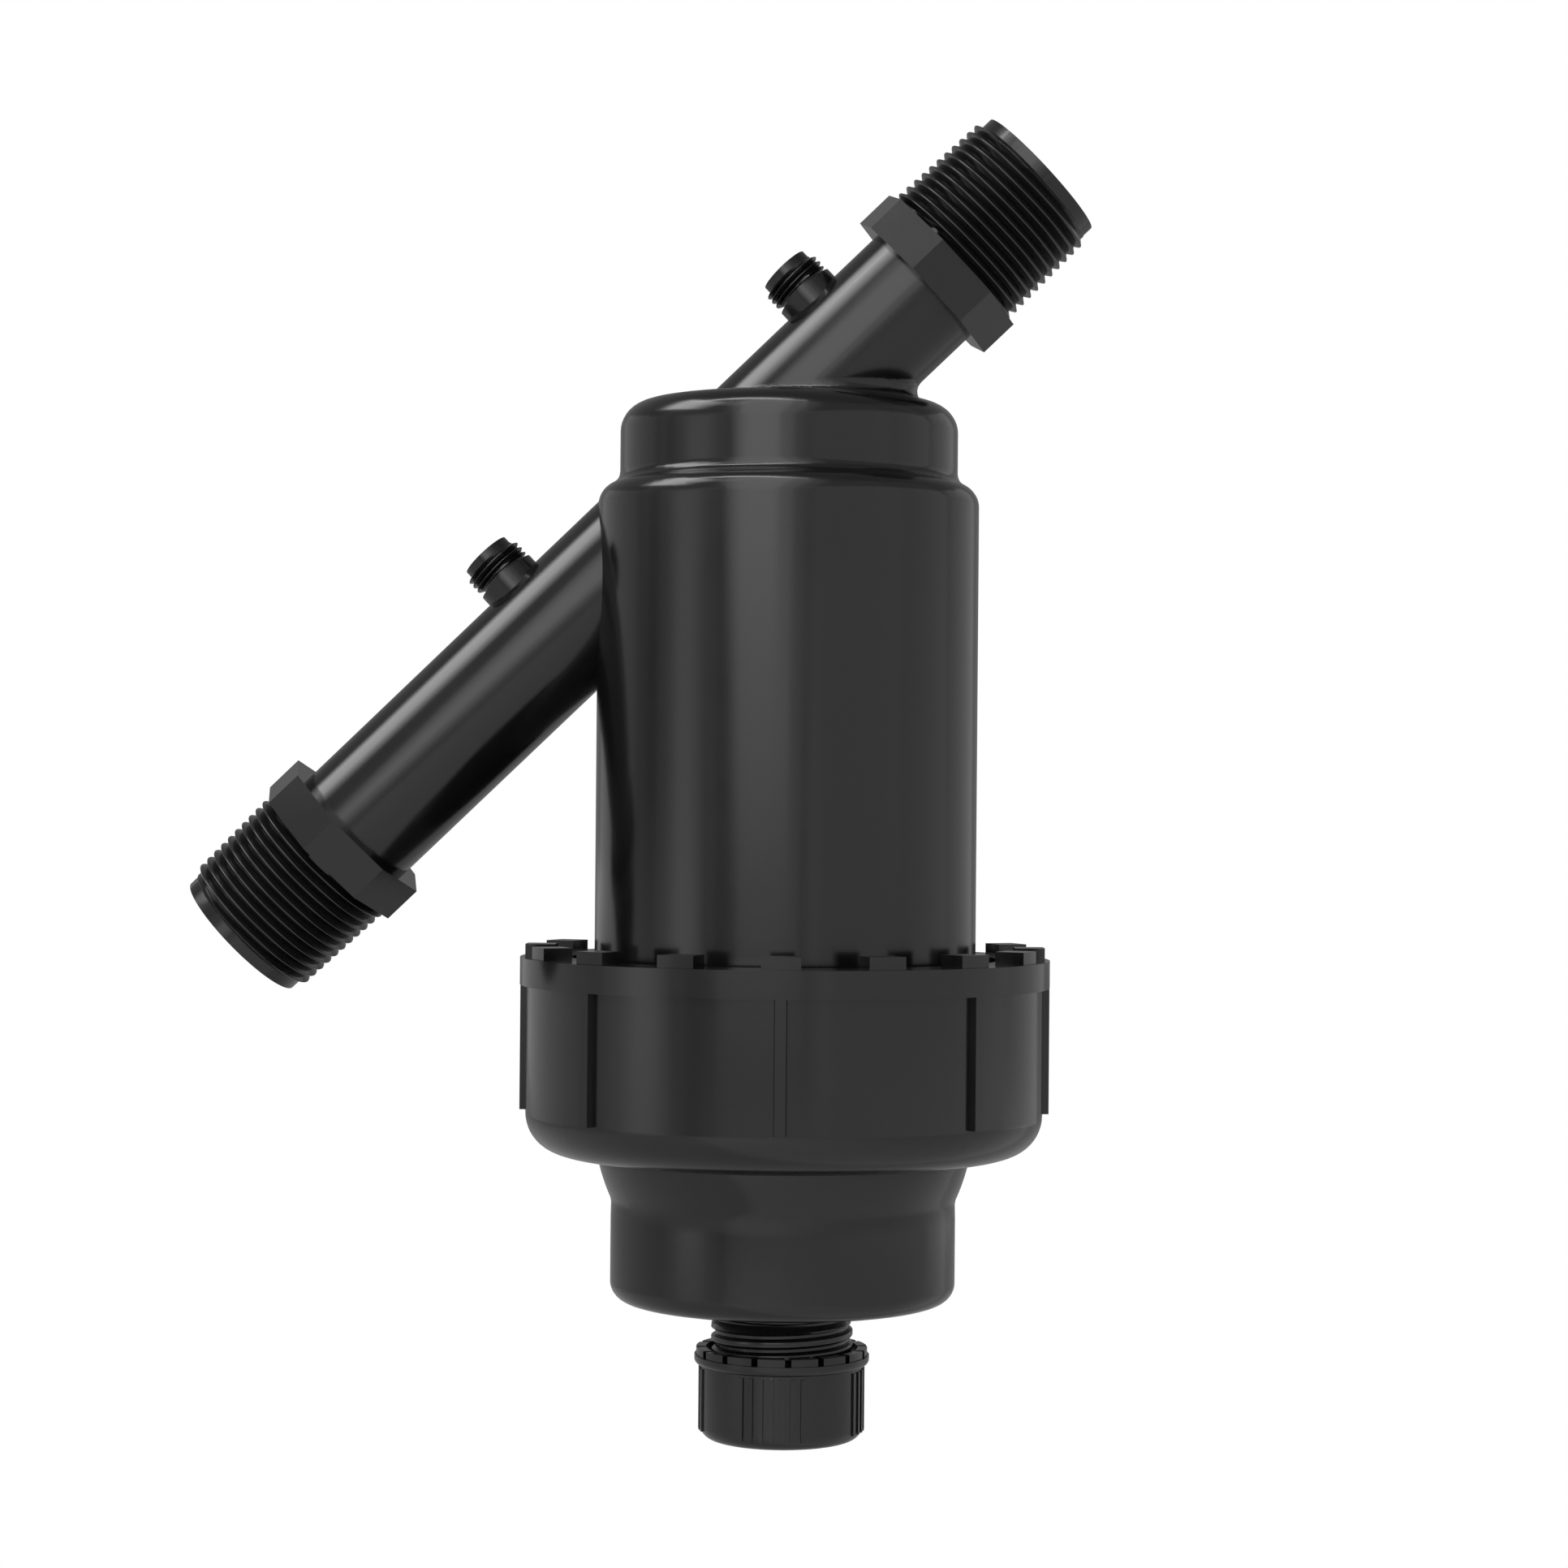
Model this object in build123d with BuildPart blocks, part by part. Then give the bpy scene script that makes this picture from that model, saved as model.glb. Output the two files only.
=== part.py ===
from build123d import *
import os
from math import cos, radians, sin

os.makedirs("parts", exist_ok=True)

# Irrigation disc filter for a 1 inch line, in millimetres, +Z up.
# The origin is the middle of the inlet's open end. The line rises from there to the outlet,
# and the housing hangs upright where the line's axis crosses its own.

# Run of the line
line_angle = 43.7
line_diameter = 27.9
line_bore = 22.0
inlet_run = 156.8
outlet_run = 70.6

# Threaded ends and their wrench collars
thread_length = 25.1
thread_diameter = 33.2
lead_diameter = 30.1
lead_length = 2.4
collar_length = 8.25
collar_across_corners = 37.4
collar_turn = -4.2
collar_sides = 8

# Gauge ports on the line
port_top = 22.3
port_lead_length = 1.65
port_lead_diameter = 10.7
port_thread_diameter = 12.8
port_collar_diameter = 13.1
port_collar_top = 16.05
port_groove_length = 1.0
port_root_diameter = 11.4
port_bore = 6.0
inlet_port_run = 65.5
outlet_port_run = 19.45

# Housing, with heights above the rim of the union nut
line_over_shoulder = 16.3
body_diameter = 78.0
body_wall = 3.3
shoulder_foot = 95.3
shoulder_rise = 2.15
shoulder_outer_rounding = 4.7
shoulder_inner_rounding = 2.9
neck_diameter = 69.2
neck_wall = 3.2
dome_rise = 17.6
dome_crown = 1.8
dome_rounding = 6.0
junction_fillet = 2.7
ceiling_wall = 3.9

# Screwed joint between the housing and the bowl
joint_thread_diameter = 86.4
joint_thread_top = -1.0
housing_foot = -24.2
joint_clearance = 0.4
face_gap = 0.1

# Well that takes the nozzle of the filter element, and the start of the outlet's bore
outlet_bore_setback = 5.5
well_diameter = 34.0
well_bore = 27.4
well_foot = 80.0
well_roof = 106.0

# Union nut
nut_wall = 9.2
rim_proud = 1.35
nut_height = 39.7
nut_rounding = 8.1
rim_band = 4.7
band_run_out = 1.6
lip_clearance = 0.4
rib_count = 8
rib_top = 5.5
rib_foot = 31.45
rib_width = 2.35
rib_sink = 1.5
rib_turn = 4.2
block_count = 16
block_height = 2.5
block_setback = 1.05
block_depth = 6.1
block_angle = 8.2

# Bowl
flange_clearance = 0.7
flange_thickness = 6.7
bowl_neck_wall = 2.7
bowl_neck_foot = -40.0
bowl_edge_height = -49.9
bowl_edge_step = 0.35
bowl_edge_round = 3.1
bowl_diameter = 70.5
bowl_wall = 3.25
bowl_foot = -69.6
bowl_crown = 1.5
bowl_rounding = 3.9
bowl_inner_rounding = 2.3
bowl_floor = 3.4
bowl_mouth_step = 0.2

# Drain spigot and its cap
drain_thread_diameter = 28.8
drain_root_diameter = 25.6
drain_root_length = 3.7
drain_bore = 21.0
drain_end = -93.4
cap_diameter = 33.3
cap_height = 16.6
cap_floor = 2.1
cap_crown = 1.8
cap_rounding = 2.7
cap_clearance = 0.3
cap_flange_proud = 1.25
cap_flange_thickness = 2.0
cap_flange_rounding = 1.2
cap_block_height = 1.5
cap_block_count = 16
cap_block_angle = 18.2
cap_block_setback = 0.4
cap_block_depth = 2.0
knurl_groups = 4
knurl_ridges = 7
knurl_pitch = 7.35
knurl_turn = -1.9
knurl_width = 0.95
knurl_proud = 0.35
knurl_drop = 2.6
drain_seal_thickness = 2.0

# Ring seals
seal_width = 3.2
seal_height = 2.3
seal_roundness = 0.45
seal_groove_width = 3.6
nozzle_seal_depth = 1.6

# Filter element
nozzle_clearance = 0.3
nozzle_bore = 21.0
nozzle_end_gap = 8.0
head_drop = 8.0
head_thickness = 4.0
disc_diameter = 56.0
head_setback = 0.5
disc_clearance = 0.4
core_diameter = 31.2
core_wall = 2.4
core_slots = 6
core_slot_width = 6.0
core_slot_margin = 6.0
plate_thickness = 4.0
plate_rounding = 1.3
hand_nut_diameter = 42.0
hand_nut_hub_diameter = 36.0
hand_nut_height = 8.0
hand_nut_lobes = 6
hand_nut_lobe_diameter = 9.0
foot_fin_count = 4
foot_fin_width = 2.4
foot_fin_reach = 15.0
foot_fin_height = 10.2

# Places worked out from the sizes above
angle = radians(line_angle)
along = Vector(cos(angle), 0, sin(angle))
upward = Vector(-sin(angle), 0, cos(angle))
line_length = inlet_run + outlet_run
axis_x = inlet_run * cos(angle)
rim_drop = shoulder_foot + line_over_shoulder
rim_z = inlet_run * sin(angle) - rim_drop
housing_axis = Axis((axis_x, 0, 0), (0, 0, 1))
section = Plane(origin=(axis_x, 0, rim_z), x_dir=(1, 0, 0), z_dir=(0, -1, 0))

line_r = line_diameter / 2
thread_r = thread_diameter / 2
port_runs = (inlet_run - inlet_port_run, inlet_run + outlet_port_run)
body_r = body_diameter / 2
neck_r = neck_diameter / 2
joint_r = joint_thread_diameter / 2
body_bore_r = body_r - body_wall
neck_bore_r = neck_r - neck_wall
well_r = well_diameter / 2
well_bore_r = well_bore / 2
dome_height = shoulder_foot + dome_rise
ceiling_height = dome_height - ceiling_wall

nut_bore_r = joint_r + joint_clearance
nut_wall_r = nut_bore_r + nut_wall
nut_r = nut_wall_r + rim_proud
flange_r = nut_bore_r - flange_clearance
flange_top = housing_foot - face_gap
flange_foot = flange_top - flange_thickness
bowl_r = bowl_diameter / 2
bowl_inner_r = bowl_r - bowl_wall
bowl_mouth_r = body_bore_r - bowl_mouth_step
bowl_neck_r = bowl_mouth_r + bowl_neck_wall
lip_r = bowl_neck_r + lip_clearance
bowl_floor_z = bowl_foot + bowl_floor
bowl_seal_r = (bowl_mouth_r + flange_r) / 2

drain_r = drain_thread_diameter / 2
spigot_top = bowl_foot - drain_root_length
cap_r = cap_diameter / 2
cap_flange_r = cap_r + cap_flange_proud
cap_bore_r = drain_r + cap_clearance
cap_floor_z = drain_end - face_gap - drain_seal_thickness
cap_foot = cap_floor_z - cap_floor
cap_top = cap_foot + cap_height

core_r = core_diameter / 2
disc_r = disc_diameter / 2
disc_bore_r = core_r + disc_clearance
head_r = disc_r - head_setback
nozzle_r = well_bore_r - nozzle_clearance
nozzle_top = well_roof - nozzle_end_gap
head_top = well_foot - head_drop
disc_top = head_top - head_thickness
core_foot = bowl_floor_z + foot_fin_height
plate_foot = core_foot + hand_nut_height
disc_foot = plate_foot + plate_thickness
seal_level = (well_foot + nozzle_top) / 2


def level(height):
    """Level plane on the housing's axis, at a height above the nut's rim."""
    return Plane(origin=(axis_x, 0, rim_z + height))


def across(run):
    """Plane square to the line, at a distance from the inlet's end."""
    return Plane(origin=along * run, x_dir=upward, z_dir=along)


def above(run, height):
    """Plane over the line at a run from the inlet's end, facing up and away from it."""
    return Plane(origin=along * run + upward * height, x_dir=along, z_dir=upward)


def ring_of_blocks(inner_r, outer_r, count, block_span, first_angle):
    """Sectors of a ring, drawn into the sketch that is open."""
    half = radians(block_span / 2)
    near = inner_r / 2
    far = 2 * outer_r
    with PolarLocations(0, count, start_angle=first_angle):
        Polygon(
            (near * cos(half), -near * sin(half)),
            (far * cos(half), -far * sin(half)),
            (far * cos(half), far * sin(half)),
            (near * cos(half), near * sin(half)),
            align=None,
        )
    Circle(inner_r, mode=Mode.SUBTRACT)
    Circle(outer_r, mode=Mode.INTERSECT)


def ring_seal(mean_r, height, width, thickness):
    """Rounded ring on the housing's axis."""
    with BuildPart() as ring:
        with BuildSketch(section):
            with Locations((mean_r, height)):
                RectangleRounded(width, thickness, seal_roundness * min(width, thickness))
        revolve(axis=housing_axis)
    return ring


# Housing: the upright body, the line through it, its ends and its gauge ports
with BuildPart() as housing:
    with BuildSketch(section) as body_profile:
        with BuildLine():
            Polyline(
                (0, housing_foot),
                (joint_r, housing_foot),
                (joint_r, joint_thread_top),
                (body_r, joint_thread_top),
                (body_r, shoulder_foot),
                (neck_r, shoulder_foot + shoulder_rise),
                (neck_r, dome_height),
            )
            TangentArc((0, dome_height + dome_crown), (neck_r, dome_height), tangent=(1, 0))
            Line((0, dome_height + dome_crown), (0, housing_foot))
        make_face()
        fillet(body_profile.vertices().group_by(Axis.Y)[2], shoulder_outer_rounding)
        fillet(body_profile.vertices().group_by(Axis.Y)[-3], shoulder_inner_rounding)
        fillet(body_profile.vertices().group_by(Axis.Y)[-2], dome_rounding)
    revolve(axis=housing_axis)

    with BuildSketch(across(0)):
        Circle(line_r)
    extrude(amount=line_length)
    junction = [e for e in housing.edges(Select.LAST)
                if e.center().X > axis_x and e.center().Z > rim_z + shoulder_foot]
    fillet(junction, junction_fillet)

    # Ends: wrench collar, thread and the plain ring that leads into the fitting
    for end, outward in ((0, 1), (line_length, -1)):
        with BuildSketch(across(end)):
            Circle(lead_diameter / 2)
        extrude(amount=outward * lead_length)
        with BuildSketch(across(end + outward * lead_length)):
            Circle(thread_r)
        extrude(amount=outward * (thread_length - lead_length))
        with BuildSketch(across(end + outward * thread_length)):
            RegularPolygon(collar_across_corners / 2, collar_sides, rotation=collar_turn)
        extrude(amount=outward * collar_length)

    # Gauge ports
    for run in port_runs:
        with BuildSketch(above(run, 0)):
            Circle(port_collar_diameter / 2)
        extrude(amount=port_collar_top)
        with BuildSketch(above(run, port_collar_top)):
            Circle(port_root_diameter / 2)
        extrude(amount=port_groove_length)
        with BuildSketch(above(run, port_collar_top + port_groove_length)):
            Circle(port_thread_diameter / 2)
        extrude(amount=port_top - port_lead_length - port_collar_top - port_groove_length)
        with BuildSketch(above(run, port_top - port_lead_length)):
            Circle(port_lead_diameter / 2)
        extrude(amount=port_lead_length)

    # Chamber round the filter element
    with BuildSketch(section):
        with BuildLine():
            Polyline(
                (0, housing_foot),
                (body_bore_r, housing_foot),
                (body_bore_r, shoulder_foot - body_wall),
                (neck_bore_r, shoulder_foot - body_wall + shoulder_rise),
                (neck_bore_r, ceiling_height),
                (0, ceiling_height),
                close=True,
            )
        make_face()
    revolve(axis=housing_axis, mode=Mode.SUBTRACT)
    with BuildSketch(across(0)):
        Circle(line_bore / 2)
    extrude(amount=inlet_run - well_r - line_bore / 2, mode=Mode.SUBTRACT)

    # Well and the way out of it
    with BuildSketch(level(well_foot)):
        Circle(well_r)
    extrude(amount=ceiling_height - well_foot)
    with BuildSketch(level(well_foot)):
        Circle(well_bore_r)
    extrude(amount=well_roof - well_foot, mode=Mode.SUBTRACT)
    with BuildSketch(across(inlet_run - outlet_bore_setback)):
        Circle(line_bore / 2)
    extrude(amount=outlet_run + outlet_bore_setback, mode=Mode.SUBTRACT)
    for run in port_runs:
        with BuildSketch(above(run, 0)):
            Circle(port_bore / 2)
        extrude(amount=port_top, mode=Mode.SUBTRACT)
housing.part.label = "housing"
export_step(housing.part, "parts/housing.step")

# Union nut: holds the bowl's flange up against the housing
with BuildPart() as union_nut:
    with BuildSketch(section) as nut_profile:
        with BuildLine():
            Polyline(
                (nut_bore_r, 0),
                (nut_r, 0),
                (nut_r, -rim_band),
                (nut_wall_r, -rim_band - band_run_out),
                (nut_wall_r, -nut_height),
                (lip_r, -nut_height),
                (lip_r, flange_foot - face_gap),
                (nut_bore_r, flange_foot - face_gap),
                close=True,
            )
        make_face()
        fillet(nut_profile.vertices().group_by(Axis.Y)[0].sort_by(Axis.X)[-1], nut_rounding)
    revolve(axis=housing_axis)
    with BuildSketch(level(-rib_foot)):
        with PolarLocations(nut_r - (rim_proud + rib_sink) / 2, rib_count, start_angle=-90 + rib_turn):
            Rectangle(rim_proud + rib_sink, rib_width)
    extrude(amount=rib_foot - rib_top)
    with BuildSketch(level(0)):
        block_r = nut_r - block_setback
        ring_of_blocks(block_r - block_depth, block_r, block_count, block_angle, -90 + rib_turn)
    extrude(amount=block_height)
union_nut.part.label = "union_nut"
export_step(union_nut.part, "parts/union_nut.step")

# Bowl with its flange, flared neck and drain spigot
with BuildPart() as bowl:
    with BuildSketch(section) as bowl_profile:
        with BuildLine():
            Polyline(
                (0, flange_top),
                (flange_r, flange_top),
                (flange_r, flange_foot),
                (bowl_neck_r, flange_foot),
                (bowl_neck_r, bowl_neck_foot),
            )
            flare_foot_r = bowl_r - bowl_edge_step
            flare_mid_r = (bowl_neck_r + flare_foot_r) / 2 + bowl_edge_step
            ThreePointArc(
                (bowl_neck_r, bowl_neck_foot),
                (flare_mid_r, (bowl_neck_foot + bowl_edge_height) / 2),
                (flare_foot_r, bowl_edge_height),
            )
            TangentArc(
                (bowl_r, bowl_edge_height - bowl_edge_round),
                (flare_foot_r, bowl_edge_height),
                tangent=(0, 1),
            )
            Line((bowl_r, bowl_edge_height - bowl_edge_round), (bowl_r, bowl_foot))
            TangentArc((0, bowl_foot - bowl_crown), (bowl_r, bowl_foot), tangent=(1, 0))
            Line((0, bowl_foot - bowl_crown), (0, flange_top))
        make_face()
        fillet(bowl_profile.vertices().sort_by_distance((bowl_r, bowl_foot))[0], bowl_rounding)
    revolve(axis=housing_axis)
    with BuildSketch(level(bowl_floor_z)):
        Circle(drain_root_diameter / 2)
    extrude(amount=spigot_top - bowl_floor_z)
    with BuildSketch(level(spigot_top)):
        Circle(drain_r)
    extrude(amount=drain_end - spigot_top)
    with BuildSketch(section) as hollow:
        with BuildLine():
            Polyline(
                (0, flange_top),
                (bowl_mouth_r, flange_top),
                (bowl_mouth_r, flange_foot),
                (bowl_inner_r, bowl_neck_foot),
                (bowl_inner_r, bowl_floor_z),
                (0, bowl_floor_z),
                close=True,
            )
        make_face()
        fillet(hollow.vertices().group_by(Axis.Y)[0].sort_by(Axis.X)[-1], bowl_inner_rounding)
    revolve(axis=housing_axis, mode=Mode.SUBTRACT)
    with BuildSketch(level(drain_end)):
        Circle(drain_bore / 2)
    extrude(amount=bowl_floor_z - drain_end, mode=Mode.SUBTRACT)
    with BuildSketch(level(flange_top)):
        Circle(bowl_seal_r + seal_groove_width / 2)
        Circle(bowl_seal_r - seal_groove_width / 2, mode=Mode.SUBTRACT)
    extrude(amount=-seal_height - face_gap, mode=Mode.SUBTRACT)
bowl.part.label = "bowl"
export_step(bowl.part, "parts/bowl.step")

# Seal in the groove of the bowl's flange
bowl_seal = ring_seal(bowl_seal_r, flange_top - (face_gap + seal_height) / 2, seal_width, seal_height)
bowl_seal.part.label = "bowl_seal"
export_step(bowl_seal.part, "parts/bowl_seal.step")

# Drain cap with its castellated flange and groups of grip ridges
with BuildPart() as drain_cap:
    with BuildSketch(section) as cap_profile:
        with BuildLine():
            Polyline(
                (0, cap_top),
                (cap_flange_r, cap_top),
                (cap_flange_r, cap_top - cap_flange_thickness),
                (cap_r, cap_top - cap_flange_thickness),
                (cap_r, cap_foot),
            )
            TangentArc((0, cap_foot - cap_crown), (cap_r, cap_foot), tangent=(1, 0))
            Line((0, cap_foot - cap_crown), (0, cap_top))
        make_face()
        fillet(cap_profile.vertices().group_by(Axis.X)[-1].sort_by(Axis.Y)[0], cap_flange_rounding)
        fillet(cap_profile.vertices().sort_by_distance((cap_r, cap_foot))[0], cap_rounding)
    revolve(axis=housing_axis)
    ridge_foot = cap_foot + cap_rounding / 2
    with BuildSketch(level(ridge_foot)):
        for group in range(knurl_groups):
            group_turn = -90 + knurl_turn + group * 360 / knurl_groups
            with PolarLocations(cap_r - knurl_width / 2 + knurl_proud / 2, knurl_ridges,
                                start_angle=group_turn - knurl_pitch * (knurl_ridges - 1) / 2,
                                angular_range=knurl_pitch * (knurl_ridges - 1), endpoint=True):
                Rectangle(knurl_width + knurl_proud, knurl_width)
    extrude(amount=cap_top - knurl_drop - ridge_foot)
    with BuildSketch(level(cap_top)):
        cap_block_r = cap_flange_r - cap_block_setback
        ring_of_blocks(cap_block_r - cap_block_depth, cap_block_r, cap_block_count, cap_block_angle,
                       -90 + knurl_turn)
    extrude(amount=cap_block_height)
    with BuildSketch(level(cap_floor_z)):
        Circle(cap_bore_r)
    extrude(amount=cap_top + cap_block_height - cap_floor_z, mode=Mode.SUBTRACT)
drain_cap.part.label = "drain_cap"
export_step(drain_cap.part, "parts/drain_cap.step")

# Flat seal that the cap presses on the end of the spigot
with BuildPart() as drain_seal:
    with BuildSketch(level(cap_floor_z)):
        Circle(drain_r)
    extrude(amount=drain_seal_thickness)
drain_seal.part.label = "drain_seal"
export_step(drain_seal.part, "parts/drain_seal.step")

# Core of the element: nozzle, head, slotted tube and the fins it stands on
with BuildPart() as disc_core:
    with BuildSketch(section):
        with BuildLine():
            Polyline(
                (0, core_foot),
                (core_r, core_foot),
                (core_r, disc_top),
                (head_r, disc_top),
                (head_r, head_top),
                (nozzle_r, head_top),
                (nozzle_r, nozzle_top),
                (0, nozzle_top),
                close=True,
            )
        make_face()
    revolve(axis=housing_axis)
    with BuildSketch(level(core_foot + core_wall)):
        Circle(core_r - core_wall)
    extrude(amount=disc_top - core_foot - core_wall, mode=Mode.SUBTRACT)
    with BuildSketch(level(disc_top)):
        Circle(nozzle_bore / 2)
    extrude(amount=nozzle_top - disc_top, mode=Mode.SUBTRACT)
    slot_foot = disc_foot + core_slot_margin
    with BuildSketch(level(slot_foot)):
        with PolarLocations(core_r, core_slots):
            Rectangle(core_r, core_slot_width)
    extrude(amount=disc_top - core_slot_margin - slot_foot, mode=Mode.SUBTRACT)
    with BuildSketch(level(seal_level - seal_groove_width / 2)):
        Circle(well_r)
        Circle(nozzle_r - nozzle_seal_depth, mode=Mode.SUBTRACT)
    extrude(amount=seal_groove_width, mode=Mode.SUBTRACT)
    with BuildSketch(level(bowl_floor_z)):
        with PolarLocations(0, foot_fin_count):
            with Locations((foot_fin_reach / 2, 0)):
                Rectangle(foot_fin_reach, foot_fin_width)
    extrude(amount=core_foot - bowl_floor_z)
disc_core.part.label = "disc_core"
export_step(disc_core.part, "parts/disc_core.step")

# Stack of filter discs, clamped on the core
with BuildPart() as disc_stack:
    with BuildSketch(level(disc_foot)):
        Circle(disc_r)
        Circle(disc_bore_r, mode=Mode.SUBTRACT)
    extrude(amount=disc_top - disc_foot)
disc_stack.part.label = "disc_stack"
export_step(disc_stack.part, "parts/disc_stack.step")

# Plate that presses the discs together
with BuildPart() as pressure_plate:
    with BuildSketch(level(plate_foot)):
        Circle(head_r)
        Circle(disc_bore_r, mode=Mode.SUBTRACT)
    extrude(amount=plate_thickness)
    fillet(pressure_plate.edges().group_by(Axis.Z)[0].sort_by(SortBy.LENGTH)[-1], plate_rounding)
pressure_plate.part.label = "pressure_plate"
export_step(pressure_plate.part, "parts/pressure_plate.step")

# Hand nut under the plate
with BuildPart() as hand_nut:
    with BuildSketch(level(core_foot)):
        Circle(hand_nut_hub_diameter / 2)
        with PolarLocations(hand_nut_diameter / 2 - hand_nut_lobe_diameter / 2, hand_nut_lobes):
            Circle(hand_nut_lobe_diameter / 2)
        Circle(disc_bore_r, mode=Mode.SUBTRACT)
    extrude(amount=hand_nut_height)
hand_nut.part.label = "hand_nut"
export_step(hand_nut.part, "parts/hand_nut.step")

# Seal round the nozzle, in the housing's well
nozzle_seal_width = well_bore_r - nozzle_r + nozzle_seal_depth - face_gap
nozzle_seal = ring_seal(nozzle_r - nozzle_seal_depth + (nozzle_seal_width + face_gap) / 2, seal_level,
                        nozzle_seal_width, seal_width)
nozzle_seal.part.label = "nozzle_seal"
export_step(nozzle_seal.part, "parts/nozzle_seal.step")
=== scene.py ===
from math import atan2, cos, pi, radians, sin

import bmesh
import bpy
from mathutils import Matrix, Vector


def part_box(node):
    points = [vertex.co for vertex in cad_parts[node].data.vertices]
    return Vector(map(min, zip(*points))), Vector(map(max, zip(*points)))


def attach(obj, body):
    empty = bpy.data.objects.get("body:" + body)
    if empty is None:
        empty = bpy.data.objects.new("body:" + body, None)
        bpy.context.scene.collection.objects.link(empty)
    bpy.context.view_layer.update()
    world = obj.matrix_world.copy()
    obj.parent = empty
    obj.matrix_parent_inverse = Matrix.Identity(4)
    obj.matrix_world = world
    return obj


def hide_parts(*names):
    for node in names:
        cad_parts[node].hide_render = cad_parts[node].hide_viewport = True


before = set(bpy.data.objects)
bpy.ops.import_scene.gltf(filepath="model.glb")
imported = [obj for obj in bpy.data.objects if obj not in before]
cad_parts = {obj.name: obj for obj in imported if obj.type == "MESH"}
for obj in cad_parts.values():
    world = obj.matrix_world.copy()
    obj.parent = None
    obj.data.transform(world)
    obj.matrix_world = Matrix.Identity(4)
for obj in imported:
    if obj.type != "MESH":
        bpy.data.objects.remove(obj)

# %% [markdown]
# # An irrigation disc filter
# The real object is four black mouldings that show, with a filter element and its seals inside. Its
# solids come with the frame at their real size. This lesson gives them moulded edges, cuts their screw
# threads, stacks the filter discs, and finishes and lights them like a studio picture of the filter.
# The first cell clears the solids' plain finishes.

for plain_finish in list(bpy.data.materials):
    bpy.data.materials.remove(plain_finish)
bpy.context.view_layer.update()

# %% [markdown]
# ## Where things are
# Two lines carry the whole part: the upright axis of the housing, and the slanted axis of the pipe that
# runs through it. The frame's origin is the middle of the inlet's open end, so the slanted axis starts
# there. The upright axis and the level of the nut's rim are read from the solids.

# %% The two axes
MM = 0.001
LINE_ANGLE = radians(43.7)
LINE_LENGTH = 227.4 * MM
BLOCK_HEIGHT = 2.5 * MM

ALONG = Vector((cos(LINE_ANGLE), 0, sin(LINE_ANGLE)))
UPWARD = Vector((-sin(LINE_ANGLE), 0, cos(LINE_ANGLE)))
UP = Vector((0, 0, 1))
BACK = Vector((0, 1, 0))
EAST = Vector((1, 0, 0))
bowl_low, bowl_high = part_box("bowl")
nut_low, nut_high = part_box("union_nut")
RIM = Vector(((bowl_low.x + bowl_high.x) / 2, 0, nut_high.z - BLOCK_HEIGHT))
print("rim centre, mm:", [round(value / MM, 2) for value in RIM])

# %% [markdown]
# ## The camera
# The picture was taken almost level with the top of the nut, a few degrees round to the right, with a
# long lens. Those facts give the camera's place and its three axes. The lens is the focal length in
# picture pixels, turned into millimetres on the camera's own sensor.

# %% Camera
PICTURE_SIDE = 1932
FOCAL_PIXELS = 4089.3
EYE_DISTANCE = 680.5 * MM
EYE_HEIGHT = 31.12 * MM
EYE_AZIMUTH = radians(4.975)
LOOK_AZIMUTH = radians(5.017)
LOOK_PITCH = radians(0.378)
LOOK_ROLL = radians(0.481)
FARTHEST_SEEN = 20

eye = RIM + Vector((EYE_DISTANCE * sin(EYE_AZIMUTH), -EYE_DISTANCE * cos(EYE_AZIMUTH), EYE_HEIGHT))
look = Vector((
    -sin(LOOK_AZIMUTH) * cos(LOOK_PITCH),
    cos(LOOK_AZIMUTH) * cos(LOOK_PITCH),
    sin(LOOK_PITCH),
))
level_right = look.cross(UP).normalized()
level_up = level_right.cross(look)
camera_right = level_right * cos(LOOK_ROLL) + level_up * sin(LOOK_ROLL)
camera_turn = Matrix((camera_right, camera_right.cross(look), -look)).transposed().to_4x4()
camera = bpy.data.objects.new("camera", bpy.data.cameras.new("camera"))
camera.data.lens = FOCAL_PIXELS / PICTURE_SIDE * camera.data.sensor_width
camera.data.clip_end = FARTHEST_SEEN
camera.matrix_world = Matrix.Translation(eye) @ camera_turn
bpy.context.scene.collection.objects.link(camera)
bpy.context.scene.camera = camera
bpy.context.scene.view_settings.view_transform = "Standard"
print("lens, mm:", round(camera.data.lens, 2))

# %% [markdown]
# ## Shader maths as plain expressions
# A finish is a sum of small masks, and sums are easier to read than node names. `Shade` wraps one socket,
# so that `0.3 + 0.05 * noise` adds the Math nodes for it. `Finish` is a material in the making, with one
# method that adds any node.

# %% Shade and Finish
class Shade:
    """A socket of a finish. Arithmetic on it adds Math nodes."""

    def __init__(self, finish, socket):
        self.finish = finish
        self.socket = socket

    def math(self, operation, first, second):
        return self.finish.node("Math", {"operation": operation}, {0: first, 1: second})

    def __add__(self, other):
        return self.math("ADD", self, other)

    def __mul__(self, other):
        return self.math("MULTIPLY", self, other)

    __radd__ = __add__
    __rmul__ = __mul__


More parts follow.
